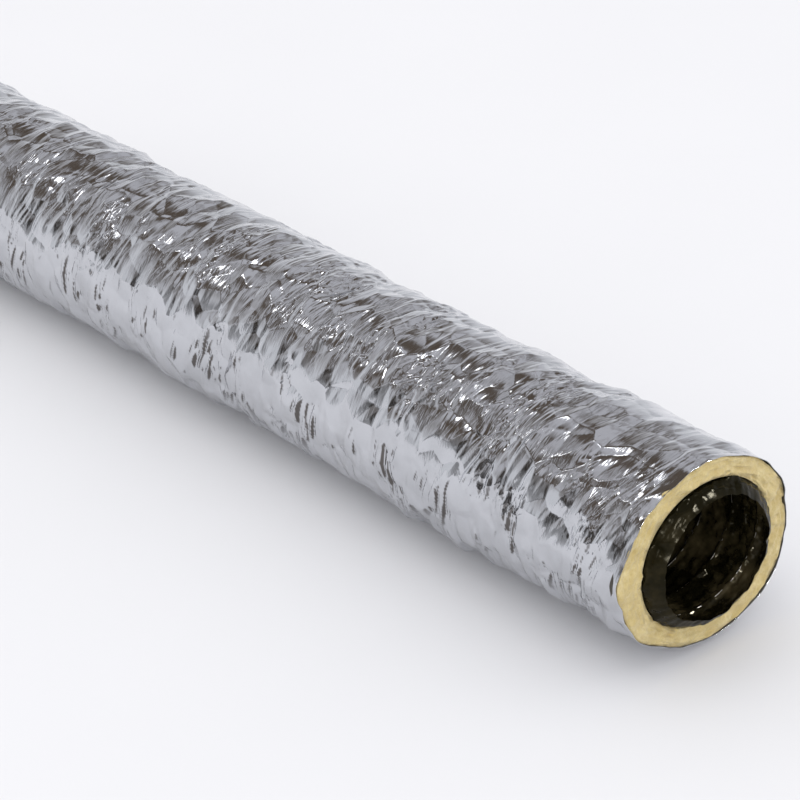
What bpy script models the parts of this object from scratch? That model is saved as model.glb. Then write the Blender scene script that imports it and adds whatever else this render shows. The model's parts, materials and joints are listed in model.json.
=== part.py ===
"""Insulated flexible air duct, cut to length with both ends open, lying straight on a floor.

Five layers share one axis. From the bore outwards they are the inner film ply, the spring-wire
helix, the outer film ply, the glass-wool blanket and the foil jacket. The layers are made in
sections, so that the duct can bend and close up where one section meets the next. The sections
follow a repeating order: a sideways bend, an up-and-down bend, then a slide along the axis.

The duct lies along X with its mouth at +X. The origin is on the floor, below the middle of the
length. Each section hangs from an empty on the duct's axis, at the joint towards the mouth. In
a section's own frame Z runs away from the mouth and X points up.
"""

import math

import bpy

# ---- driving dimensions, in metres -------------------------------------------------------

DUCT_LENGTH = 1.200  # between the two cut faces of the blanket
BORE_DIAMETER = 0.127  # clear inside the core, across its flats
PLY_WALL = 0.00025  # each of the core's two films
WIRE_DIAMETER = 0.0012
BLANKET_THICKNESS = 0.0202
JACKET_WALL = 0.0005
CORE_STANDOUT = 0.013  # how far the core's film stands out of each end
CORE_RIM_INSET = 0.0075  # how far the film's free edge draws in from the bore
FIT_GAP = 0.0003  # between any two pieces that lie against each other

# ---- layout ------------------------------------------------------------------------------

MODULE_COUNT = 4
SECTION_TURNS = (3.5, 3.25, 3.25)  # wire turns in each section of a module, in quarter turns
CORE_SIDES = 16
COVER_SIDES = 24
WIRE_BEVEL_RESOLUTION = 2
MERGE_DISTANCE = 0.00001

# ---- what follows from them --------------------------------------------------------------

SECTION_COUNT = MODULE_COUNT * len(SECTION_TURNS)
WIRE_TURNS = MODULE_COUNT * sum(SECTION_TURNS)
WIRE_PITCH = DUCT_LENGTH / WIRE_TURNS

BORE_FLAT = BORE_DIAMETER / 2
INNER_PLY_FLAT = BORE_FLAT + PLY_WALL
WIRE_FLAT = INNER_PLY_FLAT + FIT_GAP + WIRE_DIAMETER / 2
OUTER_PLY_FLAT = WIRE_FLAT + WIRE_DIAMETER / 2 + FIT_GAP
CORE_FLAT = OUTER_PLY_FLAT + PLY_WALL
CORE_CORNER = CORE_FLAT / math.cos(math.pi / CORE_SIDES)
BLANKET_BORE_FLAT = CORE_CORNER + FIT_GAP
BLANKET_FLAT = BLANKET_BORE_FLAT + BLANKET_THICKNESS
JACKET_BORE_FLAT = BLANKET_FLAT + FIT_GAP
JACKET_FLAT = JACKET_BORE_FLAT + JACKET_WALL

RIM_FLAT = BORE_FLAT - CORE_RIM_INSET
AXIS_HEIGHT = JACKET_FLAT  # the jacket's lowest flat lies on the floor


def section_turns(index):
    return SECTION_TURNS[index % len(SECTION_TURNS)]


def section_length(index):
    return section_turns(index) * WIRE_PITCH


def turns_before(index):
    return sum(section_turns(i) for i in range(index))


def section_span(index):
    """Where a section's pieces start and end along its own Z, with half a gap at each joint."""
    start = 0.0 if index == 0 else FIT_GAP / 2
    end = section_length(index)
    if index < SECTION_COUNT - 1:
        end -= FIT_GAP / 2
    return start, end


def make_material(name, colour, roughness, metallic, alpha=1.0):
    material = bpy.data.materials.new(name)
    material.use_nodes = True
    shader = material.node_tree.nodes["Principled BSDF"]
    shader.inputs["Base Color"].default_value = (*colour, 1.0)
    shader.inputs["Roughness"].default_value = roughness
    shader.inputs["Metallic"].default_value = metallic
    shader.inputs["Alpha"].default_value = alpha
    material.diffuse_color = (*colour, alpha)
    return material


def add_piece(name, data, material, section_empty, collection):
    data.materials.append(material)
    piece = bpy.data.objects.new(name, data)
    piece.parent = section_empty
    collection.objects.link(piece)
    return piece


def turned_piece(name, profile, sides, material, section_empty, collection):
    """A profile of (flat radius, z) points turned round Z into a prism with a flat side down."""
    half_side = math.pi / sides
    corner = 1.0 / math.cos(half_side)
    points = [
        (flat * corner * math.cos(half_side), flat * corner * math.sin(half_side), z)
        for flat, z in profile
    ]
    edges = [(i, (i + 1) % len(points)) for i in range(len(points))]
    mesh = bpy.data.meshes.new(name)
    mesh.from_pydata(points, edges, [])
    piece = add_piece(name, mesh, material, section_empty, collection)
    screw = piece.modifiers.new("turn", "SCREW")
    screw.axis = "Z"
    screw.angle = math.tau
    screw.steps = sides
    screw.render_steps = sides
    screw.use_merge_vertices = True
    screw.merge_threshold = MERGE_DISTANCE
    screw.use_smooth_shade = sides > CORE_SIDES
    return piece


def sleeve_profile(index, inner_flat, outer_flat, rim_inner_flat, rim_outer_flat):
    """A film sleeve, down its outer side and back up its bore, drawn in at the duct's two ends."""
    start, end = section_span(index)
    outer = [(outer_flat, end), (outer_flat, start)]
    inner = [(inner_flat, start), (inner_flat, end)]
    if index == 0:
        outer.append((rim_outer_flat, start - CORE_STANDOUT))
        inner.insert(0, (rim_inner_flat, start - CORE_STANDOUT))
    if index == SECTION_COUNT - 1:
        outer.insert(0, (rim_outer_flat, end + CORE_STANDOUT))
        inner.append((rim_inner_flat, end + CORE_STANDOUT))
    return outer + inner


def tube_profile(index, inner_flat, outer_flat):
    start, end = section_span(index)
    return [(outer_flat, end), (outer_flat, start), (inner_flat, start), (inner_flat, end)]


def wire_ends(index):
    """The angles where a section's wire starts and stops: at a joint, or just inside the duct's end."""
    joint_gap = FIT_GAP / 2 / WIRE_FLAT
    free_end_gap = WIRE_DIAMETER / WIRE_PITCH * math.tau
    first = turns_before(index) * math.tau
    last = first + section_turns(index) * math.tau
    start = first + (free_end_gap if index == 0 else joint_gap)
    stop = last - (free_end_gap if index == SECTION_COUNT - 1 else joint_gap)
    return start, stop


def wire_points(index):
    """The helix of one section, with a point over each corner of the film sleeves."""
    side = math.tau / CORE_SIDES
    first = turns_before(index) * math.tau
    start, stop = wire_ends(index)
    corner_count = round(section_turns(index) * CORE_SIDES)
    corners = [first + side * (i + 0.5) for i in range(corner_count)]
    inner_corners = [angle for angle in corners if start < angle < stop]
    points = []
    for angle in (start, *inner_corners, stop):
        off_flat = (angle + side / 2) % side - side / 2
        radius = WIRE_FLAT / math.cos(off_flat)
        z = (angle - first) / math.tau * WIRE_PITCH
        points.append((radius * math.cos(angle), radius * math.sin(angle), z))
    return points


def wire_piece(name, index, material, section_empty, collection):
    curve = bpy.data.curves.new(name, "CURVE")
    curve.dimensions = "3D"
    curve.twist_mode = "Z_UP"
    curve.bevel_depth = WIRE_DIAMETER / 2
    curve.bevel_resolution = WIRE_BEVEL_RESOLUTION
    curve.use_fill_caps = True
    points = wire_points(index)
    spline = curve.splines.new("POLY")
    spline.points.add(len(points) - 1)
    for spline_point, position in zip(spline.points, points):
        spline_point.co = (*position, 1.0)
    return add_piece(name, curve, material, section_empty, collection)


def section_empty_of(index, parent, collection):
    """The empty on a section's joint, at the end of the section before it."""
    empty = bpy.data.objects.new(f"section_{index + 1:02d}", None)
    empty.empty_display_size = BORE_FLAT
    if parent is None:
        empty.location = (DUCT_LENGTH / 2, 0.0, AXIS_HEIGHT)
        empty.rotation_euler = (0.0, -math.pi / 2, 0.0)
    else:
        empty.location = (0.0, 0.0, section_length(index - 1))
        empty.parent = parent
    collection.objects.link(empty)
    return empty


def build_section(index, materials, section_empty, collection):
    number = f"{index + 1:02d}"
    where = (section_empty, collection)
    turned_piece(
        f"core_inner_ply_{number}",
        sleeve_profile(index, BORE_FLAT, INNER_PLY_FLAT, RIM_FLAT, RIM_FLAT + PLY_WALL),
        CORE_SIDES,
        materials["core_film"],
        *where,
    )
    wire_piece(f"wire_coil_{number}", index, materials["spring_wire"], *where)
    outer_rim = RIM_FLAT + PLY_WALL + FIT_GAP
    turned_piece(
        f"core_outer_ply_{number}",
        sleeve_profile(index, OUTER_PLY_FLAT, CORE_FLAT, outer_rim, outer_rim + PLY_WALL),
        CORE_SIDES,
        materials["core_film"],
        *where,
    )
    turned_piece(
        f"wool_blanket_{number}",
        tube_profile(index, BLANKET_BORE_FLAT, BLANKET_FLAT),
        COVER_SIDES,
        materials["glass_wool"],
        *where,
    )
    turned_piece(
        f"foil_jacket_{number}",
        tube_profile(index, JACKET_BORE_FLAT, JACKET_FLAT),
        COVER_SIDES,
        materials["jacket_foil"],
        *where,
    )


def main():
    for old in list(bpy.data.objects):
        bpy.data.objects.remove(old)
    collection = bpy.data.collections.new("flexible_air_duct")
    bpy.context.scene.collection.children.link(collection)
    materials = {
        "core_film": make_material("core_film", (0.020, 0.021, 0.016), 0.18, 0.0),
        "spring_wire": make_material("spring_wire", (0.42, 0.40, 0.37), 0.35, 1.0),
        "glass_wool": make_material("glass_wool", (0.85, 0.76, 0.38), 0.95, 0.0),
        "jacket_foil": make_material("jacket_foil", (0.70, 0.72, 0.75), 0.28, 1.0),
    }
    section_empty = None
    for index in range(SECTION_COUNT):
        section_empty = section_empty_of(index, section_empty, collection)
        build_section(index, materials, section_empty, collection)
    bpy.context.view_layer.update()


main()
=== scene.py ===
"""An insulated flexible air duct, cut to length, lying on a pale studio floor.

The packed CAD frame gives every size and place. Each layer of the duct is one long sleeve of
points, cut at the middle of each CAD section into eleven pieces.
"""

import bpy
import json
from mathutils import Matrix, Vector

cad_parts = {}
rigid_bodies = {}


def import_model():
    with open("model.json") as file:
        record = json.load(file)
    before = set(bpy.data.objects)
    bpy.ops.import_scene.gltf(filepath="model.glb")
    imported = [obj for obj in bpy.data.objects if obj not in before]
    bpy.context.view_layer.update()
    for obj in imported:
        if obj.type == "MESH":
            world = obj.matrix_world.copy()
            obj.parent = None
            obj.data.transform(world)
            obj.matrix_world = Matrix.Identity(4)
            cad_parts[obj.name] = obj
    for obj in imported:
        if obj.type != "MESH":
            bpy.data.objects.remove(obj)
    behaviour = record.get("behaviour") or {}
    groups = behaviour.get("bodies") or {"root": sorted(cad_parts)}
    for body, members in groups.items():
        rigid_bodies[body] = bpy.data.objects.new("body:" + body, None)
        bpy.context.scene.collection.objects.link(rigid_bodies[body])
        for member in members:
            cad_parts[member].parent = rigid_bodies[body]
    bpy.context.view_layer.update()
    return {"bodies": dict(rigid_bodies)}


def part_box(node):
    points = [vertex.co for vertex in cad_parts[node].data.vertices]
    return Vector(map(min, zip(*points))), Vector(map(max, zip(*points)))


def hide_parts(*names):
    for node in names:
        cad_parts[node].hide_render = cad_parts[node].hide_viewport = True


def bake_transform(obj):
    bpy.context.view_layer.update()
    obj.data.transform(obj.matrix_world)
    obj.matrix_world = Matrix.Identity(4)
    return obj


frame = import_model()

import json
import math

import bpy
import numpy as np
from bpy.props import FloatProperty, FloatVectorProperty, IntProperty, PointerProperty
from mathutils import Matrix, Vector

bl_info = {
    "name": "Insulated flexible air duct",
    "version": (1, 0, 0),
    "blender": (4, 5, 0),
    "location": "View3D > Sidebar > Air duct",
    "description": "Builds the foil jacket, glass-wool blanket and wire-ribbed film core of an air duct",
    "category": "Object",
}

# ---- places taken from the frame ---------------------------------------------------------

SECTIONS = sorted(name for name in frame["bodies"] if name.startswith("section_"))
NUMBERS = [name[-2:] for name in SECTIONS]


def node_box(layer, number):
    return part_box(f"{layer}_{number}")


def half_height(layer):
    low, high = node_box(layer, NUMBERS[1])
    return (high[2] - low[2]) / 2


MOUTH_X = node_box("wool_blanket", NUMBERS[0])[1][0]
FAR_X = node_box("wool_blanket", NUMBERS[-1])[0][0]
CENTRES = [sum(corner[0] for corner in node_box("foil_jacket", n)) / 2 for n in NUMBERS]
DUCT_LENGTH = MOUTH_X - FAR_X
JACKET_RADIUS = half_height("foil_jacket")
AXIS_Z = JACKET_RADIUS  # the jacket lies on the floor
BLANKET_RADIUS = half_height("wool_blanket")
CORE_RADIUS = half_height("core_outer_ply")
BORE_RADIUS = half_height("core_inner_ply")
WIRE_OUTER_RADIUS = half_height("wire_coil")
STANDOUT = node_box("core_inner_ply", NUMBERS[0])[1][0] - MOUTH_X
WIRE_TURNS = 40
WIRE_PITCH = DUCT_LENGTH / WIRE_TURNS


def mm(value):
    return value / 1000


# ---- sizes and colours that a user would change ------------------------------------------


class JacketSettings(bpy.types.PropertyGroup):
    """Foil jacket."""

    swell: FloatProperty(
        name="Swell",
        description="Height of the soft bulges along the jacket",
        default=mm(3.7),
        unit="LENGTH",
    )
    crease: FloatProperty(
        name="Crease",
        description="Height of the broad creases round the jacket",
        default=mm(1.5),
        unit="LENGTH",
    )
    crinkle: FloatProperty(
        name="Crinkle",
        description="Height of the narrow crinkles round the jacket",
        default=mm(1.05),
        unit="LENGTH",
    )
    fine: FloatProperty(
        name="Fine crinkle", description="Height of the finest crinkles", default=mm(0.22), unit="LENGTH"
    )
    crumple: FloatProperty(
        name="Crumple", description="Height of the crushed patches", default=mm(1.7), unit="LENGTH"
    )
    dent: FloatProperty(
        name="Dent", description="Depth of the flat dents", default=mm(3.4), unit="LENGTH"
    )
    lip: FloatProperty(
        name="Lip",
        description="How far the jacket stands past the blanket's cut face",
        default=mm(1.2),
        unit="LENGTH",
    )
    colour: FloatVectorProperty(
        name="Foil", description="Foil colour", subtype="COLOR", default=(0.59, 0.60, 0.63)
    )
    # Painted shade: a dark foil colour on the steep side of creases along the duct's sides, standing in for
    # the dark reflections in those creases.
    painted_crease_shade: FloatVectorProperty(
        name="Painted crease shade",
        description="Foil colour on the steep side of a crease",
        subtype="COLOR",
        default=(0.13, 0.12, 0.115),
    )
    # A near-black colour for the sheet under the jacket's cut edges, which shows as the dark lip at each
    # end.
    lining: FloatVectorProperty(
        name="Lining",
        description="Colour of the sheet under the jacket's cut edge",
        subtype="COLOR",
        default=(0.03, 0.026, 0.02),
    )
    seed: IntProperty(name="Seed", description="Picks the pattern of creases", default=11)


class BlanketSettings(bpy.types.PropertyGroup):
    """Glass-wool blanket."""

    tear: FloatProperty(
        name="Tear", description="Height of the uneven cut face", default=mm(1.9), unit="LENGTH"
    )
    colour: FloatVectorProperty(
        name="Wool", description="Wool colour", subtype="COLOR", default=(0.57, 0.435, 0.16)
    )
    pale: FloatVectorProperty(
        name="Pale fibres",
        description="Colour of the loose fibres",
        subtype="COLOR",
        default=(0.81, 0.68, 0.345),
    )
    seed: IntProperty(name="Seed", description="Picks the pattern of fibres", default=31)


class CoreSettings(bpy.types.PropertyGroup):
    """Film core and its wire."""

    bulge: FloatProperty(
        name="Bulge",
        description="How far the film stands out between two turns of the wire",
        default=mm(2.1),
        unit="LENGTH",
    )
    gather: FloatProperty(
        name="Gather", description="Depth of the gathers in the film", default=mm(2.2), unit="LENGTH"
    )
    fold: FloatProperty(
        name="Fold",
        description="How far the film folds out over the cut blanket",
        default=mm(2.4),
        unit="LENGTH",
    )
    film_gap: FloatProperty(
        name="Film gap",
        description="Distance between the two films away from the wire",
        default=mm(0.35),
        unit="LENGTH",
    )
    wire_diameter: FloatProperty(
        name="Wire", description="Diameter of the spring wire", default=mm(1.2), unit="LENGTH"
    )
    rim_inset: FloatProperty(
        name="Rim inset",
        description="How far the film's free edge draws in from the bore",
        default=mm(7.5),
        unit="LENGTH",
    )
    colour: FloatVectorProperty(
        name="Film", description="Film colour", subtype="COLOR", default=(0.007, 0.006, 0.0025)
    )
    # Painted light: a brown colour in patches of the film, standing in for light that comes through the thin
    # film from the wool behind it.
    painted_glow_colour: FloatVectorProperty(
        name="Painted glow",
        description="Colour where light comes through",
        subtype="COLOR",
        default=(0.080, 0.062, 0.030),
    )
    seed: IntProperty(name="Seed", description="Picks the pattern of gathers", default=57)


class LieSettings(bpy.types.PropertyGroup):
    """How the duct lies."""

    oval: FloatProperty(
        name="Oval",
        description="How much wider and lower the mouth's end has settled, at its edge",
        default=mm(6.8),
        unit="LENGTH",
    )
    lift: FloatProperty(
        name="Lift",
        description="How far the middle of the mouth is lifted",
        default=mm(2.6),
        unit="LENGTH",
    )
    drift: FloatProperty(
        name="Drift",
        description="How far the middle of the mouth has moved sideways",
        default=mm(2.4),
        unit="LENGTH",
    )
    reach: FloatProperty(
        name="Reach",
        description="How far back from the mouth the oval fades out",
        default=mm(230),
        unit="LENGTH",
    )


class StageSettings(bpy.types.PropertyGroup):
    """Floor, lights and camera."""

    azimuth: FloatProperty(
        name="Azimuth",
        description="Direction from the mouth to the camera, from -Y towards +X",
        default=math.radians(45.624),
        subtype="ANGLE",
    )
    elevation: FloatProperty(
        name="Elevation",
        description="Angle of the camera above the mouth",
        default=math.radians(31.919),
        subtype="ANGLE",
    )
    distance: FloatProperty(
        name="Distance", description="Camera to the mouth", default=2.426, unit="LENGTH"
    )
    aim_side: FloatProperty(
        name="Aim side",
        description="Turn away from the mouth",
        default=math.radians(-5.773),
        subtype="ANGLE",
    )
    aim_up: FloatProperty(
        name="Aim up",
        description="Tilt away from the mouth",
        default=math.radians(2.983),
        subtype="ANGLE",
    )
    lens: FloatProperty(
        name="Lens", description="Focal length in millimetres", default=135.07, unit="CAMERA"
    )
    floor: FloatVectorProperty(
        name="Floor", description="Floor colour", subtype="COLOR", default=(0.76, 0.76, 0.775)
    )


# ---- patterns on a sleeve ----------------------------------------------------------------

TABLE_ROWS = 1024


def facet_noise(along, around, columns, seed):
    """Flat facets that meet in sharp creases, as in crumpled foil. It closes on itself round the duct.

    Each of two scattered sets of points gives the squared distance to its nearest point. The
    difference of the two is flat between creases, because their curved parts cancel.
    """
    height = np.zeros(along.shape)
    row, column = np.floor(along).astype(int), np.floor(around).astype(int)
    for sign in (1, -1):
        scatter = np.random.default_rng(seed * 2 + (sign > 0)).random((TABLE_ROWS, columns, 2))
        nearest = np.full(along.shape, 9.0)
        for row_step in (-1, 0, 1):
            for column_step in (-1, 0, 1):
                place = scatter[(row + row_step) % TABLE_ROWS, (column + column_step) % columns]
                off_along = row + row_step + place[..., 0] - along
                off_around = column + column_step + place[..., 1] - around
                nearest = np.minimum(nearest, off_along**2 + off_around**2)
        height += sign * nearest
    return height


def soft_noise(along, around, columns, seed):
    """Smooth random hills from -1 to 1 that close on themselves round the duct."""
    heights = np.random.default_rng(seed).uniform(-1, 1, (TABLE_ROWS, columns))
    row, column = np.floor(along).astype(int), np.floor(around).astype(int)
    part_along, part_around = along - row, around - column
    ease_along = part_along**2 * (3 - 2 * part_along)
    ease_around = part_around**2 * (3 - 2 * part_around)

    def corner(row_step, column_step):
        return heights[(row + row_step) % TABLE_ROWS, (column + column_step) % columns]

    near = corner(0, 0) * (1 - ease_around) + corner(0, 1) * ease_around
    far = corner(1, 0) * (1 - ease_around) + corner(1, 1) * ease_around
    return near * (1 - ease_along) + far * ease_along


class Sleeve:
    """Places on a sleeve: distance behind the mouth in metres, and angle from the top towards +Y."""

    def __init__(self, stations, columns, radius):
        self.columns = columns
        angles = np.arange(columns) * math.tau / columns
        self.along, self.angle = np.meshgrid(stations, angles, indexing="ij")
        self.from_end = np.minimum(self.along, DUCT_LENGTH - self.along)
        self.girth = math.tau * radius

    def cells(self, cell_along, cell_around, lean=0.0):
        """Pattern coordinates for cells of about this size, and how many cells go round."""
        count = max(3, round(self.girth / cell_around))
        around = self.angle / math.tau * count
        return (self.along + lean) / cell_along + TABLE_ROWS / 2, around, count

    def facets(self, cell_along, cell_around, seed, lean=0.0):
        return facet_noise(*self.cells(cell_along, cell_around, lean), seed)

    def hills(self, cell_along, cell_around, seed, lean=0.0):
        return soft_noise(*self.cells(cell_along, cell_around, lean), seed)

    def standing_out(self):
        """From 0 at the blanket's cut face to 1 at the free edge of the film that stands out of it."""
        return np.clip(-self.from_end / STANDOUT, 0, 1)

    def points(self, radius, along=None):
        along = self.along if along is None else along
        return np.stack(
            [
                MOUTH_X - along,
                radius * np.sin(self.angle),
                AXIS_Z + radius * np.cos(self.angle),
            ],
            axis=-1,
        )


def settle(points, along):
    """Settles the mouth's end into a low oval. Every layer goes with it."""
    lie = bpy.context.scene.duct_lie
    share = 1 - smooth_step(along, 0, lie.reach)
    radius = np.hypot(points[..., 1], points[..., 2] - AXIS_Z)
    squeeze = lie.oval / JACKET_RADIUS * share * (radius / JACKET_RADIUS) ** 2
    points[..., 1] = points[..., 1] * (1 + squeeze) + lie.drift * share
    points[..., 2] = AXIS_Z + (points[..., 2] - AXIS_Z) * (1 - squeeze) + lie.lift * share
    return points


def smooth_step(value, low, high):
    part = np.clip((value - low) / (high - low), 0, 1)
    return part * part * (3 - 2 * part)


# ---- cutting a sleeve into pieces --------------------------------------------------------


def cut_stations():
    """Where the sleeves are cut: the two ends, and the middle of each section between."""
    return [0.0] + [MOUTH_X - x for x in CENTRES[1:-1]] + [DUCT_LENGTH]


def stations_at(spacing):
    """Stations along the duct at about this spacing, with one at every cut."""
    cuts = cut_stations()
    runs = []
    for start, stop in zip(cuts, cuts[1:]):
        count = max(2, round((stop - start) / spacing))
        runs.append(np.linspace(start, stop, count, endpoint=False))
    return np.concatenate([*runs, [cuts[-1]]])


def grid_normals(points):
    """The normal at each point of a sleeve, facing away from the axis on an outer side."""
    along = np.gradient(points, axis=0)
    around = np.roll(points, -1, axis=1) - np.roll(points, 1, axis=1)
    normals = np.cross(along, around)
    length = np.linalg.norm(normals, axis=-1, keepdims=True)
    return normals / np.maximum(length, 1e-12)


def quad_mesh(name, points, quads):
    """A smooth mesh of four-sided faces."""
    mesh = bpy.data.meshes.new(name)
    mesh.vertices.add(len(points))
    mesh.vertices.foreach_set("co", np.asarray(points, np.float32).ravel())
    mesh.loops.add(quads.size)
    mesh.loops.foreach_set("vertex_index", quads.astype(np.int32).ravel())
    mesh.polygons.add(len(quads))
    mesh.polygons.foreach_set("loop_start", np.arange(len(quads), dtype=np.int32) * 4)
    mesh.update(calc_edges=True)
    mesh.shade_smooth()
    return mesh


def sleeve_mesh(name, points, inward=False):
    """A sleeve's grid of points as a smooth mesh, with the normals of the whole sleeve."""
    rows, columns = points.shape[:2]
    index = np.arange(rows * columns).reshape(rows, columns)
    beside = np.roll(index, -1, axis=1)
    quads = np.stack([index[:-1], index[1:], beside[1:], beside[:-1]], axis=-1).reshape(-1, 4)
    if inward:
        quads = quads[:, ::-1]
    return quad_mesh(name, points.reshape(-1, 3), quads)


def add_piece(name, mesh, material):
    mesh.materials.append(material)
    piece = bpy.data.objects.new(name, mesh)
    bpy.context.scene.collection.objects.link(piece)
    return piece


def nodes_under(layer, index):
    """The CAD nodes that the piece at a joint stands for: its nearer section's, and the last one's."""
    numbers = [NUMBERS[index]]
    if index == len(SECTIONS) - 2:
        numbers.append(NUMBERS[-1])
    return [f"{layer}_{number}" for number in numbers]


def bend(piece, layer, index):
    """Hides the CAD nodes that the piece stands for and bakes its place into its points."""
    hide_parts(*nodes_under(layer, index))
    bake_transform(piece)


def row_ranges(along_of_row):
    """The first and last row of each piece, for rows in order from the mouth to the far end."""
    cuts = cut_stations()[1:-1]
    ends = [0, *(int(np.argmin(np.abs(along_of_row - cut))) for cut in cuts), len(along_of_row) - 1]
    return list(zip(ends, ends[1:]))


def set_painted_shade(mesh, painted_shade):
    """Stores how much painted crease shade each point gets, from 0 to 1."""
    stored = mesh.attributes.new("painted_shade", "FLOAT", "POINT")
    stored.data.foreach_set("value", np.asarray(painted_shade, np.float32).ravel())


def sleeve_pieces(layer, points, along_of_row, material, inward=False, painted_shade=None):
    """Cuts one long sleeve into its pieces."""
    normals = grid_normals(points)
    if inward:
        normals = -normals
    pieces = []
    for index, (first, last) in enumerate(row_ranges(along_of_row)):
        rows = slice(first, last + 1)
        name = f"{layer}_piece_{index + 1:02d}"
        mesh = sleeve_mesh(name, points[rows], inward)
        mesh.normals_split_custom_set_from_vertices(normals[rows].reshape(-1, 3).tolist())
        # Each piece keeps its share of the painted crease shade.
        if painted_shade is not None:
            set_painted_shade(mesh, painted_shade[rows])
        pieces.append(add_piece(name, mesh, material))
    return pieces


# ---- shader parts ------------------------------------------------------------------------


def new_group(name, inputs, outputs):
    group = bpy.data.node_groups.new(name, "ShaderNodeTree")
    for label, kind, default in inputs:
        socket = group.interface.new_socket(label, in_out="INPUT", socket_type=kind)
        socket.default_value = default
    for label, kind in outputs:
        group.interface.new_socket(label, in_out="OUTPUT", socket_type=kind)
    entry = group.nodes.new("NodeGroupInput")
    leave = group.nodes.new("NodeGroupOutput")
    return group, entry, leave


def add_node(tree, kind, values=(), links=()):
    """A node with its inputs set or linked by name."""
    node = tree.nodes.new(kind)
    for label, value in values:
        node.inputs[label].default_value = value
    for label, source in links:
        tree.links.new(source, node.inputs[label])
    return node


def math_node(tree, operation, first, second):
    """A Math node whose inputs are sockets or plain numbers."""
    node = tree.nodes.new("ShaderNodeMath")
    node.operation = operation
    for socket, value in zip(node.inputs, (first, second)):
        if isinstance(value, (int, float)):
            socket.default_value = value
        else:
            tree.links.new(value, socket)
    return node.outputs[0]


def mix_colours(tree, factor, first, second):
    """A colour mix whose inputs are sockets or plain colours."""
    node = tree.nodes.new("ShaderNodeMix")
    node.data_type = "RGBA"
    ends = [s for s in node.inputs if s.type == "RGBA"]
    tree.links.new(factor, node.inputs[0])
    for socket, value in zip(ends, (first, second)):
        if isinstance(value, bpy.types.NodeSocket):
            tree.links.new(value, socket)
        else:
            socket.default_value = (*value, 1.0)
    return next(s for s in node.outputs if s.type == "RGBA")


def noise(tree, vector, scale, detail=3.0, roughness=0.55):
    node = add_node(
        tree,
        "ShaderNodeTexNoise",
        [("Scale", scale), ("Detail", detail), ("Roughness", roughness)],
        [("Vector", vector)],
    )
    return node.outputs["Fac"]


def stretched(tree, vector, stretch):
    """Coordinates drawn out across the duct's axis by this much."""
    node = add_node(
        tree,
        "ShaderNodeMapping",
        [("Scale", (1.0, 1.0 / stretch, 1.0 / stretch))],
        [("Vector", vector)],
    )
    return node.outputs["Vector"]


def facet_height(tree, vector, scale):
    """Flat facets with sharp creases: the difference of two squared distances to scattered points."""
    squares = []
    for shift in (0.0, 13.7):
        moved = tree.nodes.new("ShaderNodeVectorMath")
        moved.operation = "ADD"
        tree.links.new(vector, moved.inputs[0])
        moved.inputs[1].default_value = (shift, shift, shift)
        wanted = [("Vector", moved.outputs[0]), ("Scale", scale)]
        nearest = add_node(tree, "ShaderNodeTexVoronoi", links=wanted).outputs["Distance"]
        squares.append(math_node(tree, "MULTIPLY", nearest, nearest))
    return math_node(tree, "SUBTRACT", *squares)


def hoop_crinkle_group():
    """Fine crinkles that run round the duct, and a mask of dusty patches, which on the core's films also
    places painted light coming through them.
    """
    group, entry, leave = new_group(
        "hoop_crinkle",
        [
            ("Vector", "NodeSocketVector", (0, 0, 0)),
            ("Fineness", "NodeSocketFloat", 300.0),
            ("Stretch", "NodeSocketFloat", 5.0),
        ],
        [("Height", "NodeSocketFloat"), ("Dust and glow", "NodeSocketFloat")],
    )
    inverse = math_node(group, "DIVIDE", 1.0, entry.outputs["Stretch"])
    combine = group.nodes.new("ShaderNodeCombineXYZ")
    combine.inputs[0].default_value = 1.0
    group.links.new(inverse, combine.inputs[1])
    group.links.new(inverse, combine.inputs[2])
    scaled = group.nodes.new("ShaderNodeVectorMath")
    scaled.operation = "MULTIPLY"
    group.links.new(entry.outputs["Vector"], scaled.inputs[0])
    group.links.new(combine.outputs[0], scaled.inputs[1])
    height = facet_height(group, scaled.outputs[0], entry.outputs["Fineness"])
    dust_and_glow = noise(group, entry.outputs["Vector"], 26.0, 4.0, 0.62)
    group.links.new(height, leave.inputs["Height"])
    group.links.new(dust_and_glow, leave.inputs["Dust and glow"])
    return group


def place_group(tree, group, values, vector):
    node = tree.nodes.new("ShaderNodeGroup")
    node.node_tree = group
    for label, value in values:
        node.inputs[label].default_value = value
    tree.links.new(vector, node.inputs["Vector"])
    return node


def new_material(name):
    """A material, its node tree, its shader and the piece's own coordinates."""
    material = bpy.data.materials.new(name)
    material.use_nodes = True
    tree = material.node_tree
    shader = tree.nodes["Principled BSDF"]
    place = tree.nodes.new("ShaderNodeTexCoord").outputs["Object"]
    return material, tree, shader, place


def bump(tree, shader, height, strength, distance):
    node = add_node(
        tree,
        "ShaderNodeBump",
        [("Strength", strength), ("Distance", distance)],
        [("Height", height)],
    )
    tree.links.new(node.outputs["Normal"], shader.inputs["Normal"])


def range_node(tree, value, low, high, new_low, new_high):
    node = add_node(
        tree,
        "ShaderNodeMapRange",
        [("From Min", low), ("From Max", high), ("To Min", new_low), ("To Max", new_high)],
        [("Value", value)],
    )
    return node.outputs[0]


def fade(tree, value, low, high):
    """A mask that goes from 0 to 1 as a value goes from low to high."""
    return range_node(tree, value, low, high, 0.0, 1.0)


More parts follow.
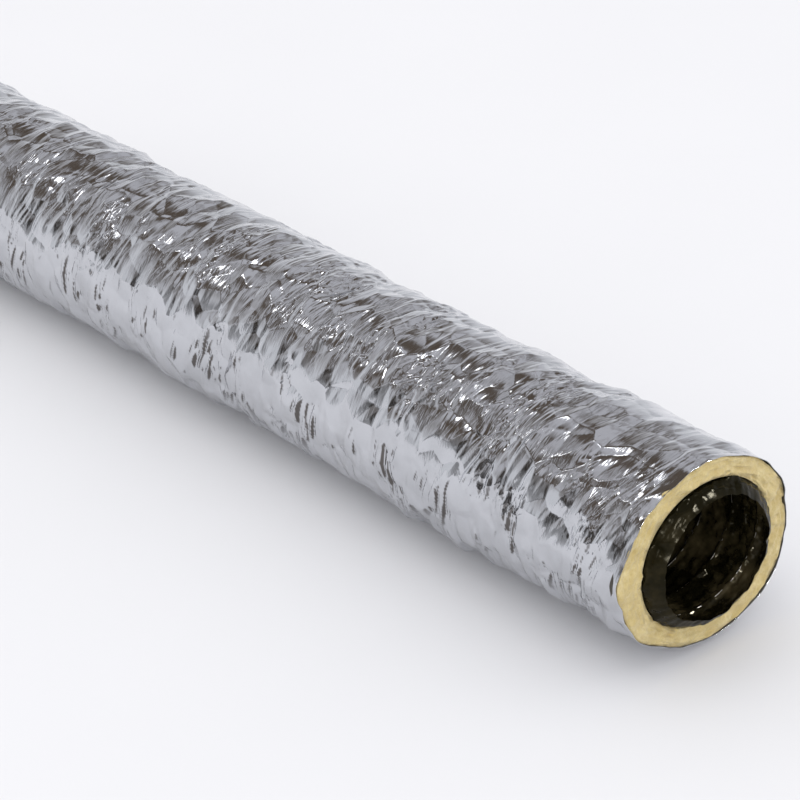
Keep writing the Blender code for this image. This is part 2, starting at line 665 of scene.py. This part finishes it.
def foil_material(settings, crinkle):
    material, tree, shader, place = new_material("foil_jacket_film")
    detail = place_group(tree, crinkle, [("Fineness", 480.0), ("Stretch", 5.0)], place)
    dust_and_glow = detail.outputs["Dust and glow"]
    dull = tuple(channel * 0.86 for channel in settings.colour)
    # Painted shade: the stored crease mask turns the foil dark on the steep sides of creases, in place of
    # their dark reflections. Dusty patches only dull the foil a little.
    painted_shade = tree.nodes.new("ShaderNodeAttribute")
    painted_shade.attribute_name = "painted_shade"
    painted_crease_shade = fade(tree, painted_shade.outputs["Fac"], 0.15, 0.8)
    unshaded_foil = mix_colours(tree, fade(tree, dust_and_glow, 0.45, 0.75), tuple(settings.colour), dull)
    base = mix_colours(tree, painted_crease_shade, unshaded_foil, tuple(settings.painted_crease_shade))
    tree.links.new(base, shader.inputs["Base Color"])
    tree.links.new(range_node(tree, dust_and_glow, 0.35, 0.75, 0.07, 0.17), shader.inputs["Roughness"])
    shader.inputs["Metallic"].default_value = 1.0
    rough_patches = range_node(tree, dust_and_glow, 0.42, 0.58, 0.25, 1.1)
    height = math_node(tree, "MULTIPLY", detail.outputs["Height"], rough_patches)
    bump(tree, shader, height, 1.0, mm(0.09))
    return material


def lining_material(settings):
    material, tree, shader, place = new_material("foil_jacket_lining")
    speckle = noise(tree, place, 240.0)
    lighter = tuple(channel * 2.2 for channel in settings.lining)
    tree.links.new(mix_colours(tree, speckle, tuple(settings.lining), lighter), shader.inputs["Base Color"])
    shader.inputs["Roughness"].default_value = 0.55
    bump(tree, shader, speckle, 0.3, mm(0.3))
    return material


def wool_material(settings):
    material, tree, shader, place = new_material("glass_wool")
    fibres = noise(tree, stretched(tree, place, 0.35), 420.0, 6.0, 0.7)
    clumps = noise(tree, place, 70.0, 4.0, 0.6)
    layers = noise(tree, place, 160.0, 5.0, 0.65)
    paler_layers = range_node(tree, layers, 0.3, 0.7, 0.2, 1.0)
    blend = math_node(tree, "MULTIPLY", fade(tree, clumps, 0.35, 0.7), paler_layers)
    base = mix_colours(tree, blend, tuple(settings.colour), tuple(settings.pale))
    # Painted shade: where the fibre noise is low, which the bump also makes lowest, the wool turns darker
    # and deeper yellow, standing in for shade in the pits.
    pit_shade_colour = tuple(channel * share for channel, share in zip(settings.colour, (0.80, 0.74, 0.60)))
    painted_pit_shade = range_node(tree, fibres, 0.30, 0.48, 0.6, 0.0)
    tree.links.new(mix_colours(tree, painted_pit_shade, base, pit_shade_colour), shader.inputs["Base Color"])
    shader.inputs["Roughness"].default_value = 0.95
    shader.inputs["Sheen Weight"].default_value = 0.25
    shader.inputs["Sheen Roughness"].default_value = 0.6
    height = math_node(tree, "ADD", fibres, layers)
    bump(tree, shader, height, 1.0, mm(1.2))
    return material


def core_film_material(settings, crinkle, name, gloss, dullness, light_through):
    material, tree, shader, place = new_material(name)
    detail = place_group(tree, crinkle, [("Fineness", 210.0), ("Stretch", 4.5)], place)
    dust_and_glow = detail.outputs["Dust and glow"]
    # Painted light: in the dusty patches the film's colour goes towards the brown of light coming through
    # it, by the share light_through; the inner film in the dark bore gets all of it.
    painted_glow = range_node(tree, dust_and_glow, 0.45, 0.72, 0.0, light_through)
    base = mix_colours(tree, painted_glow, tuple(settings.colour), tuple(settings.painted_glow_colour))
    tree.links.new(base, shader.inputs["Base Color"])
    roughness = range_node(tree, dust_and_glow, 0.3, 0.7, dullness, 2 * dullness)
    tree.links.new(roughness, shader.inputs["Roughness"])
    shader.inputs["IOR"].default_value = 1.5
    shader.inputs["Specular IOR Level"].default_value = gloss
    shader.inputs["Specular Tint"].default_value = (1.0, 0.92, 0.7, 1.0)
    bump(tree, shader, detail.outputs["Height"], 1.0, mm(0.3))
    return material


BRIGHT_STEEL = (0.42, 0.40, 0.37)
DULL_STEEL = (0.30, 0.28, 0.26)


def wire_material():
    material, tree, shader, place = new_material("spring_wire")
    drawn = noise(tree, place, 500.0, 3.0)
    tree.links.new(mix_colours(tree, drawn, BRIGHT_STEEL, DULL_STEEL), shader.inputs["Base Color"])
    tree.links.new(range_node(tree, drawn, 0.3, 0.7, 0.28, 0.45), shader.inputs["Roughness"])
    shader.inputs["Metallic"].default_value = 1.0
    return material


# ---- the layers --------------------------------------------------------------------------

JACKET_SPACING = mm(1.1)
JACKET_COLUMNS = 500
JACKET_INSET = mm(0.4)  # from the CAD jacket's outside in to the middle of the creases
LIP_ROWS = 6
LINING_WALL = mm(0.5)
LINING_DEPTH = mm(9)
PAINTED_SHADE_STEEPNESS = (0.27, 0.50)  # the painted crease shade starts at the first steepness and is full at the second
FLOOR_CLEARANCE = mm(0.2)


def swell(sleeve, settings):
    """The soft bulges of the blanket, which the jacket follows, and its uneven outline at a cut."""
    seed = settings.seed
    broad = sleeve.hills(mm(62), mm(280), seed + 3)
    narrow = sleeve.hills(mm(34), mm(110), seed + 4)
    lumps = sleeve.hills(mm(40), mm(32), seed + 17) + 0.4 * sleeve.hills(mm(30), mm(14), seed + 18)
    cut = 1 - smooth_step(sleeve.from_end, 0, mm(28))
    return settings.swell * (0.65 * broad + 0.45 * narrow + 0.55 * lumps * cut)


def slant(sleeve, settings):
    """How far the creases lean along the duct: a lean to one side, and a wander."""
    seed = settings.seed
    lean = mm(24) * np.sin(sleeve.angle - math.radians(285))
    wander = mm(9) * sleeve.hills(mm(60), mm(110), seed + 1) + mm(3) * sleeve.hills(mm(22), mm(40), seed + 2)
    return lean + wander


def around_side(sleeve, middle, spread):
    """A band along each side of the duct, from 0 to 1. Its middle is this angle from the top."""
    from_top = np.minimum(sleeve.angle, math.tau - sleeve.angle)
    return np.exp(-(((from_top - math.radians(middle)) / math.radians(spread)) ** 2))


def jacket_radius(sleeve, settings):
    """The jacket's radius all over: swells, then creases and crinkles that run round it."""
    seed = settings.seed
    lean = slant(sleeve, settings)
    dents = sleeve.facets(mm(26), mm(32), seed + 14, lean)
    creases = sleeve.facets(mm(11.5), mm(56), seed + 5, lean)
    crinkles = sleeve.facets(mm(5.0), mm(44), seed + 6, lean * 1.1)
    fine = sleeve.facets(mm(3.1), mm(25), seed + 7, lean * 1.2)
    crumple = sleeve.facets(mm(6.0), mm(13), seed + 8, lean)
    patches = smooth_step(sleeve.hills(mm(26), mm(55), seed + 9), 0.35, 0.6)
    gathered = sleeve.hills(mm(17), mm(48), seed + 10)
    clusters = 0.12 + 0.75 * smooth_step(gathered, -0.05, 0.4)
    clusters += 1.7 * smooth_step(gathered, 0.05, 0.4) * around_side(sleeve, 108, 36)
    loose = smooth_step(sleeve.hills(mm(40), mm(85), seed + 16), -0.5, 0.3)
    slack = 0.35 + 0.65 * smooth_step(sleeve.from_end, 0, mm(14))
    height = (
        settings.dent * dents
        + settings.crease * creases * (0.45 + 0.55 * loose)
        + settings.crinkle * crinkles * clusters
        + settings.fine * fine * clusters
        + settings.crumple * crumple * patches
    )
    return JACKET_RADIUS - JACKET_INSET + swell(sleeve, settings) + height * slack


def rest_on_floor(points):
    """Flattens what would reach below the floor."""
    points[..., 2] = np.maximum(points[..., 2], FLOOR_CLEARANCE)
    return points


def ragged_lip(sleeve, settings):
    """How far past the cut the jacket's edge stands, round the duct."""
    row = Sleeve([0.0], sleeve.columns, JACKET_RADIUS)
    wave = row.hills(mm(50), mm(26), settings.seed + 12) + 0.8 * row.hills(mm(50), mm(8), settings.seed + 13)
    return settings.lip * (1 + 0.6 * wave[0])


class DUCT_OT_foil_jacket(bpy.types.Operator):
    """Makes the crinkled foil jacket"""

    bl_idname = "duct.foil_jacket"
    bl_label = "Foil jacket"

    def execute(self, context):
        settings = context.scene.duct_jacket
        foil = foil_material(settings, bpy.data.node_groups["hoop_crinkle"])
        lining = lining_material(settings)
        stations = stations_at(JACKET_SPACING)
        sleeve = Sleeve(stations, JACKET_COLUMNS, JACKET_RADIUS)
        radius = jacket_radius(sleeve, settings)
        lip = ragged_lip(sleeve, settings)
        # the rows near each end stretch out so that the last one follows the ragged lip
        reach = 4 * settings.lip
        at_mouth = 1 - smooth_step(sleeve.along, 0, reach)
        at_far_end = 1 - smooth_step(DUCT_LENGTH - sleeve.along, 0, reach)
        along = sleeve.along - at_mouth * lip + at_far_end * lip[::-1]
        outer = rest_on_floor(settle(sleeve.points(radius, along), sleeve.along))
        steepness = np.gradient(radius, stations, axis=0)
        # Painted shade: steep crease sides in a band along each side of the duct get the dark foil colour,
        # standing in for dark reflections.
        painted_shade = smooth_step(steepness, *PAINTED_SHADE_STEEPNESS) * around_side(sleeve, 92, 30)
        pieces = sleeve_pieces("foil_jacket", outer, stations, foil, painted_shade=painted_shade)
        for index, piece in enumerate(pieces):
            if index in (0, len(pieces) - 1):
                self.add_lining(piece, outer, lining, index == 0)
            bend(piece, "foil_jacket", index)
        return {"FINISHED"}

    @staticmethod
    def add_lining(piece, outer, lining, at_mouth):
        """Turns the cut edge over and runs a near-black sheet back under the jacket."""
        edge = outer[0] if at_mouth else outer[-1]
        centre = np.array([0, 0, AXIS_Z])
        inward = centre - edge * (0, 1, 1)
        inward /= np.linalg.norm(inward, axis=1, keepdims=True)
        side = -1 if at_mouth else 1
        rows = [
            edge + inward * LINING_WALL + np.array([side * LINING_DEPTH * step / LIP_ROWS, 0, 0])
            for step in range(LIP_ROWS)
        ]
        mesh = piece.data
        mesh.materials.append(lining)
        columns = len(edge)
        count = len(mesh.vertices)
        # the grid's own edge row is the first row at the mouth and the last at the far end
        edge_row = 0 if at_mouth else count - columns
        old = np.array([v.co for v in mesh.vertices])
        normals = np.array([n.vector for n in mesh.corner_normals])
        faces = [list(p.vertices) for p in mesh.polygons]
        made = []
        previous = np.arange(columns) + edge_row
        for number in range(LIP_ROWS):
            current = np.arange(columns) + count + number * columns
            beside_previous, beside_current = np.roll(previous, -1), np.roll(current, -1)
            ring = np.stack([previous, beside_previous, beside_current, current], axis=-1)
            made.extend((ring if at_mouth else ring[:, ::-1]).tolist())
            previous = current
        points = np.concatenate([old, np.concatenate(rows)])
        fresh = bpy.data.meshes.new(piece.name)
        fresh.from_pydata(points.tolist(), [], faces + made)
        fresh.shade_smooth()
        for material in mesh.materials:
            fresh.materials.append(material)
        slots = np.zeros(len(fresh.polygons), int)
        slots[len(faces) + columns :] = 1
        fresh.polygons.foreach_set("material_index", slots)
        fresh_normals = np.zeros((len(fresh.loops), 3))
        fresh_normals[: len(normals)] = normals
        fresh.normals_split_custom_set(fresh_normals.tolist())
        # The painted crease shade carries over; the turned-over rows get none.
        old_painted_shade = np.zeros(count, np.float32)
        mesh.attributes["painted_shade"].data.foreach_get("value", old_painted_shade)
        set_painted_shade(fresh, np.concatenate([old_painted_shade, np.zeros(LIP_ROWS * columns)]))
        piece.data = fresh
        bpy.data.meshes.remove(mesh)


BLANKET_SPACING = mm(5)
END_COLUMNS = 500
HIDDEN_COLUMNS = 160
FACE_ROWS = 34
BLANKET_SLACK = mm(0.35)
BORE_SLACK = mm(2.4)  # room round the core
JACKET_GAP_AT_CUT = mm(0.7)
JACKET_GAP_ADDED = mm(2.9)  # added to it further in
GAP_REACH = mm(16)
EDGE_WIDTH = mm(2.5)  # the rounded edges of a cut face
EDGE_DROP = mm(1.8)


class DUCT_OT_blanket(bpy.types.Operator):
    """Makes the glass-wool blanket"""

    bl_idname = "duct.blanket"
    bl_label = "Glass-wool blanket"

    def execute(self, context):
        settings = context.scene.duct_blanket
        wool = wool_material(settings)
        stations = stations_at(BLANKET_SPACING)
        ranges = row_ranges(stations)
        for index, (first, last) in enumerate(ranges):
            name = f"wool_blanket_piece_{index + 1:02d}"
            ends = (index == 0, index == len(ranges) - 1)
            mesh = self.blanket_mesh(name, stations[first : last + 1], settings, *ends)
            piece = add_piece(name, mesh, wool)
            bend(piece, "wool_blanket", index)
        return {"FINISHED"}

    @staticmethod
    def blanket_mesh(name, stations, settings, at_mouth, at_far_end):
        """One piece of the blanket: its outside, its bore, and a torn cut face at a duct end.

        Each part is its stations, its radii, and which way a cut face looks along the duct.
        """
        outside, bore = BLANKET_RADIUS - BLANKET_SLACK, CORE_RADIUS + BORE_SLACK
        face = np.linspace(0, 1, FACE_ROWS)[1:-1]
        parts = [(stations, np.full(len(stations), outside), 0.0)]
        if at_mouth:
            parts.insert(0, (np.zeros(len(face)), bore + (outside - bore) * face, -1.0))
        last_outside_row = sum(len(part[0]) for part in parts) - 1
        if at_far_end:
            parts.append((np.full(len(face), DUCT_LENGTH), outside + (bore - outside) * face, 1.0))
        parts.append((stations[::-1], np.full(len(stations), bore), 0.0))
        along = np.concatenate([part[0] for part in parts])
        radius = np.concatenate([part[1] for part in parts])
        facing = np.concatenate([np.full(len(part[0]), part[2]) for part in parts])
        columns = END_COLUMNS if at_mouth or at_far_end else HIDDEN_COLUMNS
        sleeve = Sleeve(along, columns, BLANKET_RADIUS)
        seed = settings.seed
        share = ((radius - bore) / (outside - bore))[:, None]
        tuck = JACKET_GAP_AT_CUT + JACKET_GAP_ADDED * smooth_step(sleeve.from_end, 0, GAP_REACH)
        jacket = jacket_radius(sleeve, bpy.context.scene.duct_jacket)
        depth = radius[:, None] + share * (jacket - outside - tuck)
        torn = Sleeve(radius, columns, BLANKET_RADIUS)
        lumps = torn.hills(mm(9), mm(17), seed) + 0.7 * torn.hills(mm(3.6), mm(7), seed + 1)
        tufts = torn.hills(mm(1.7), mm(2.6), seed + 3)
        layers = torn.hills(mm(1.9), mm(14), seed + 2)
        edge = np.minimum(radius - bore, outside - radius)[:, None] / EDGE_WIDTH
        round_off = np.clip(1 - edge, 0, 1) ** 2
        bulge = settings.tear * (lumps + 0.45 * layers + 0.3 * tufts) - EDGE_DROP * round_off
        moved = sleeve.along + facing[:, None] * bulge
        points = rest_on_floor(settle(sleeve.points(depth, moved), sleeve.along))
        grid = np.arange(len(along) * columns).reshape(-1, columns)
        start = grid if at_mouth else grid[:-1]
        follow = np.roll(grid, -1, axis=0)[: len(start)]
        # only a far face joins the outside to the bore there, and other pieces stay open
        if not at_far_end:
            start = np.delete(start, last_outside_row, axis=0)
            follow = np.delete(follow, last_outside_row, axis=0)
        quads = np.stack([start, follow, np.roll(follow, -1, axis=1), np.roll(start, -1, axis=1)], axis=-1)
        return quad_mesh(name, points.reshape(-1, 3), quads.reshape(-1, 4))


CORE_SPACING = mm(1.5)
CORE_COLUMNS = 288
STANDOUT_ROWS = 20
CLING = mm(2.9)  # how far from the wire the film still lies tight
MOST_SLACK = mm(2.7)
WIRE_ROOM = mm(0.12)  # between the wire's crown and the points of each film
WIRE_ROOM_REACH = mm(1.5)
PINCH = mm(2.0)  # depth of the inner film's sharp pinches
SMALL_PINCH = mm(0.9)
PLEAT = mm(2.0)
RING = mm(0.6)
RAGGED_EDGE = mm(0.9)
WIRE_STEPS = 48  # in each turn
WIRE_SIDES = 10


def core_stations():
    """Stations of the core's films: the part that stands out at each end has rows of its own."""
    reach = np.linspace(-STANDOUT, 0, STANDOUT_ROWS, endpoint=False)
    return np.concatenate([reach, stations_at(CORE_SPACING), DUCT_LENGTH - reach[::-1]])


def film_radius(sleeve, settings):
    """Middle of the two films: tight over the wire, slack and gathered between its turns."""
    seed = settings.seed
    wire_radius = WIRE_OUTER_RADIUS - settings.wire_diameter / 2
    turn = (sleeve.along / WIRE_PITCH - sleeve.angle / math.tau) % 1.0
    off_wire = np.minimum(turn, 1 - turn) * WIRE_PITCH
    cling = CLING * (1 + 0.6 * sleeve.hills(mm(19), mm(13), seed + 12))
    sag = 1 - np.exp(-((off_wire / cling) ** 2))
    folds = sleeve.facets(mm(8), mm(26), seed) + 0.5 * sleeve.facets(mm(4.5), mm(11), seed + 1)
    crumple = sleeve.facets(mm(7.5), mm(8.5), seed + 6)
    loose = sleeve.hills(mm(17), mm(34), seed + 2)
    slack = settings.bulge * sag * (0.72 + 0.28 * loose)
    slack += settings.gather * sag * (0.7 * folds + 0.9 * crumple)
    return wire_radius + np.minimum(slack, MOST_SLACK), off_wire


def draw_in(sleeve, radius, settings):
    """Draws the free film in to its rim at both ends, in pleats."""
    seed = settings.seed
    share = sleeve.standing_out()
    rim = BORE_RADIUS - settings.rim_inset
    pleats = sleeve.hills(mm(300), mm(11), seed + 3) + 0.6 * sleeve.hills(mm(300), mm(5), seed + 4)
    curl = share**2.2
    drawn = radius * (1 - curl) + rim * curl
    rings = sleeve.facets(mm(5), mm(22), seed + 7) + 0.4 * sleeve.facets(mm(3), mm(12), seed + 8)
    drawn += PLEAT * pleats * share * (1 - 0.4 * share) + RING * rings * smooth_step(share, 0, 0.25)
    fold = sleeve.hills(mm(300), mm(17), seed + 9) + 0.7 * sleeve.hills(mm(300), mm(6), seed + 10)
    return drawn + settings.fold * np.maximum(0, 0.25 + fold) * np.exp(-(((share - 0.16) / 0.11) ** 2))


class DUCT_OT_core(bpy.types.Operator):
    """Makes the core's two films and the spring wire between them"""

    bl_idname = "duct.core"
    bl_label = "Film core and wire"

    def execute(self, context):
        settings = context.scene.duct_core
        crinkle = bpy.data.node_groups["hoop_crinkle"]
        outer_film = core_film_material(
            settings, crinkle, "core_outer_film", gloss=0.09, dullness=0.12, light_through=0.3
        )
        inner_film = core_film_material(
            settings, crinkle, "core_inner_film", gloss=0.30, dullness=0.08, light_through=1.0
        )
        stations = core_stations()
        sleeve = Sleeve(stations, CORE_COLUMNS, BORE_RADIUS)
        middle, off_wire = film_radius(sleeve, settings)
        wire_room = settings.wire_diameter / 2 + WIRE_ROOM
        near_wire = np.exp(-((off_wire / WIRE_ROOM_REACH) ** 2))
        spread = settings.film_gap / 2 + (wire_room - settings.film_gap / 2) * near_wire
        pinch = PINCH * np.maximum(0, 0.08 + sleeve.facets(mm(17), mm(10), settings.seed + 11))
        pinch += SMALL_PINCH * np.maximum(0, sleeve.facets(mm(5), mm(6), settings.seed + 13))
        inner = draw_in(sleeve, middle - spread - pinch, settings)
        outer = draw_in(sleeve, middle + spread, settings)
        ragged = RAGGED_EDGE * sleeve.hills(mm(400), mm(14), settings.seed + 5)
        outward = np.sign(sleeve.along - DUCT_LENGTH / 2)
        along = sleeve.along + ragged * sleeve.standing_out() * outward
        for layer, radius, film, inward in (
            ("core_outer_ply", outer, outer_film, False),
            ("core_inner_ply", inner, inner_film, True),
        ):
            points = settle(sleeve.points(radius, along), sleeve.along)
            pieces = sleeve_pieces(layer, points, stations, film, inward)
            for index, piece in enumerate(pieces):
                bend(piece, layer, index)
        self.add_wire(settings)
        return {"FINISHED"}

    @staticmethod
    def add_wire(settings):
        """The helix, cut where the films are cut."""
        material = wire_material()
        cuts = cut_stations()
        cuts[0] += settings.wire_diameter
        cuts[-1] -= settings.wire_diameter
        radius = WIRE_OUTER_RADIUS - settings.wire_diameter / 2
        around = np.arange(WIRE_SIDES) * math.tau / WIRE_SIDES
        for index, (start, stop) in enumerate(zip(cuts, cuts[1:])):
            count = round((stop - start) / WIRE_PITCH * WIRE_STEPS)
            turn = np.linspace(start, stop, count + 1) / WIRE_PITCH * math.tau
            x = MOUTH_X - turn / math.tau * WIRE_PITCH
            centre = np.stack([x, radius * np.sin(turn), AXIS_Z + radius * np.cos(turn)], axis=-1)
            out = np.stack([np.zeros_like(turn), np.sin(turn), np.cos(turn)], axis=-1)
            side = np.array([1.0, 0, 0])
            ring = np.cos(around)[None, :, None] * out[:, None] + np.sin(around)[None, :, None] * side
            points = centre[:, None] + ring * settings.wire_diameter / 2
            points = settle(points, MOUTH_X - points[..., 0])
            name = f"wire_coil_piece_{index + 1:02d}"
            mesh = sleeve_mesh(name, points, inward=True)
            piece = add_piece(name, mesh, material)
            bend(piece, "wire_coil", index)


# ---- the stage ---------------------------------------------------------------------------


def add_light(name, place, target, size, power, mirrored):
    """A square light. It is either mirrored by what is shiny or lights what is matt."""
    light = bpy.data.lights.new(name, "AREA")
    light.size = size
    light.energy = power
    lamp = bpy.data.objects.new(name, light)
    lamp.location = place
    lamp.visible_glossy = mirrored
    lamp.visible_diffuse = not mirrored
    lamp.rotation_euler = (Vector(target) - Vector(place)).to_track_quat("-Z", "Y").to_euler()
    bpy.context.scene.collection.objects.link(lamp)


def add_daylight(name, towards, spread, strength):
    """Even light from one direction for what is matt."""
    light = bpy.data.lights.new(name, "SUN")
    light.angle = spread
    light.energy = strength
    lamp = bpy.data.objects.new(name, light)
    lamp.location = towards
    lamp.visible_glossy = False
    lamp.rotation_euler = Vector(towards).to_track_quat("Z", "Y").to_euler()
    bpy.context.scene.collection.objects.link(lamp)


def camera_matrix(settings):
    """The camera looks at the mouth from its azimuth and elevation, then turns by the two aims."""
    azimuth, elevation = settings.azimuth, settings.elevation
    back = Vector((
        math.sin(azimuth) * math.cos(elevation),
        -math.cos(azimuth) * math.cos(elevation),
        math.sin(elevation),
    ))
    place = Vector((MOUTH_X, 0, AXIS_Z)) + back * settings.distance
    ahead = -back
    right = ahead.cross(Vector((0, 0, 1))).normalized()
    up = right.cross(ahead)
    turned = ahead * math.cos(settings.aim_side) + right * math.sin(settings.aim_side)
    right = right * math.cos(settings.aim_side) - ahead * math.sin(settings.aim_side)
    aimed = turned * math.cos(settings.aim_up) + up * math.sin(settings.aim_up)
    up = up * math.cos(settings.aim_up) - turned * math.sin(settings.aim_up)
    axes = Matrix((right, up, -aimed)).transposed().to_4x4()
    return Matrix.Translation(place) @ axes


GLINTS = ((2.0, -0.6, 1.2), (2.3, -0.2, 0.45), (1.5, -1.5, 1.5))
DARK_SIDE = (0.72, -0.69, 0.0)
PATCH_BROWN = (0.12, 0.095, 0.075)
CEILING_GREY = (0.62, 0.62, 0.65)
PALE_WALL = (0.82, 0.83, 0.86)
LOW_HAZE = (0.66, 0.665, 0.69)
DARK_HAZE = (0.035, 0.03, 0.026)
MATT_LIGHT = (1.14, 1.14, 1.16)
LOW_SKY = (0.90, 0.90, 0.915)
HIGH_SKY = (0.80, 0.80, 0.82)
FLOOR_HALF = 12.0


def studio_world():
    """Even light for what is matt. What is shiny mirrors a room: pale far walls, a grey ceiling with
    brownish patches, and a dark side.
    """
    world = bpy.data.worlds.new("studio")
    world.use_nodes = True
    tree = world.node_tree
    background = tree.nodes["Background"]
    direction = tree.nodes.new("ShaderNodeTexCoord").outputs["Generated"]
    split = add_node(tree, "ShaderNodeSeparateXYZ", links=[("Vector", direction)])
    towards_dark = tree.nodes.new("ShaderNodeVectorMath")
    towards_dark.operation = "DOT_PRODUCT"
    tree.links.new(direction, towards_dark.inputs[0])
    towards_dark.inputs[1].default_value = DARK_SIDE
    patches = noise(tree, direction, 3.6, 1.5, 0.5)
    wander = math_node(tree, "MULTIPLY", math_node(tree, "SUBTRACT", patches, 0.5), 0.5)
    height = math_node(tree, "ADD", split.outputs["Z"], wander)
    side = math_node(tree, "ADD", towards_dark.outputs["Value"], wander)
    ceiling = mix_colours(tree, fade(tree, patches, 0.40, 0.58), PATCH_BROWN, CEILING_GREY)
    far_walls = mix_colours(tree, fade(tree, height, 0.10, 0.48), PALE_WALL, ceiling)
    haze = mix_colours(tree, fade(tree, height, -0.04, 0.20), LOW_HAZE, DARK_HAZE)
    near_walls = mix_colours(tree, fade(tree, height, 0.20, 0.58), haze, ceiling)
    room = mix_colours(tree, fade(tree, side, 0.0, 0.3), far_walls, near_walls)
    paths = tree.nodes.new("ShaderNodeLightPath")
    lit = mix_colours(tree, paths.outputs["Is Diffuse Ray"], room, MATT_LIGHT)
    sky = mix_colours(tree, fade(tree, split.outputs["Z"], 0.0, 0.3), LOW_SKY, HIGH_SKY)
    seen = mix_colours(tree, paths.outputs["Is Camera Ray"], lit, sky)
    tree.links.new(seen, background.inputs["Color"])
    bpy.context.scene.world = world


class DUCT_OT_stage(bpy.types.Operator):
    """Makes the pale floor, the soft lights and the camera"""

    bl_idname = "duct.stage"
    bl_label = "Floor, lights and camera"

    def execute(self, context):
        settings = context.scene.duct_stage
        lens = bpy.data.cameras.new("camera")
        lens.lens = settings.lens
        camera = bpy.data.objects.new("camera", lens)
        camera.matrix_world = camera_matrix(settings)
        context.scene.collection.objects.link(camera)
        context.scene.camera = camera
        self.add_floor(settings)
        studio_world()
        add_light("overhead", (0.1, -0.5, 2.4), (0, 0, 0.1), 1.4, 5, mirrored=False)
        add_daylight("front", (1.0, -0.25, 0.22), math.radians(60), 0.75)
        add_light("sparkle", (-1.25, -0.85, 1.75), (0, 0, 0.1), 0.24, 0.7, mirrored=True)
        add_light("high sparkle", (-0.5, -0.1, 2.1), (0, 0, 0.1), 0.22, 0.55, mirrored=True)
        add_light("bore", (1.7, 0.75, 1.35), (MOUTH_X, 0, AXIS_Z), 0.42, 42, mirrored=True)
        for place in GLINTS:
            add_light("glint", place, (MOUTH_X, 0, AXIS_Z), 0.22, 8, mirrored=True)
        context.scene.view_settings.view_transform = "Standard"
        return {"FINISHED"}

    @staticmethod
    def add_floor(settings):
        mesh = bpy.data.meshes.new("floor")
        signs = ((-1, -1), (1, -1), (1, 1), (-1, 1))
        corners = [(x * FLOOR_HALF, y * FLOOR_HALF, 0) for x, y in signs]
        mesh.from_pydata(corners, [], [(0, 1, 2, 3)])
        floor = bpy.data.objects.new("floor", mesh)
        material, tree, shader, place = new_material("pale_floor")
        cloud = noise(tree, place, 3.0, 2.0)
        darker = tuple(channel * 0.97 for channel in settings.floor)
        tree.links.new(mix_colours(tree, cloud, tuple(settings.floor), darker), shader.inputs["Base Color"])
        shader.inputs["Roughness"].default_value = 0.9
        shader.inputs["Specular IOR Level"].default_value = 0.0
        mesh.materials.append(material)
        bpy.context.scene.collection.objects.link(floor)


# ---- the add-on --------------------------------------------------------------------------

OPERATORS = (DUCT_OT_stage, DUCT_OT_blanket, DUCT_OT_foil_jacket, DUCT_OT_core)
SETTINGS = (
    ("duct_jacket", JacketSettings),
    ("duct_blanket", BlanketSettings),
    ("duct_core", CoreSettings),
    ("duct_lie", LieSettings),
    ("duct_stage", StageSettings),
)


class VIEW3D_PT_air_duct(bpy.types.Panel):
    """The duct's settings and the buttons that build it"""

    bl_label = "Air duct"
    bl_space_type = "VIEW_3D"
    bl_region_type = "UI"
    bl_category = "Air duct"

    def draw(self, context):
        for name, group in SETTINGS:
            box = self.layout.box()
            box.label(text=group.__doc__)
            for key in group.__annotations__:
                box.prop(getattr(context.scene, name), key)
        for operator in OPERATORS:
            self.layout.operator(operator.bl_idname)


CLASSES = (*(group for _, group in SETTINGS), *OPERATORS, VIEW3D_PT_air_duct)


def register():
    for each in CLASSES:
        bpy.utils.register_class(each)
    for name, group in SETTINGS:
        setattr(bpy.types.Scene, name, PointerProperty(type=group))


def unregister():
    for name, _ in SETTINGS:
        delattr(bpy.types.Scene, name)
    for each in reversed(CLASSES):
        bpy.utils.unregister_class(each)


def main():
    register()
    hoop_crinkle_group()
    for operator in OPERATORS:
        group, name = operator.bl_idname.split(".")
        getattr(getattr(bpy.ops, group), name)()


if __name__ == "__main__":
    main()
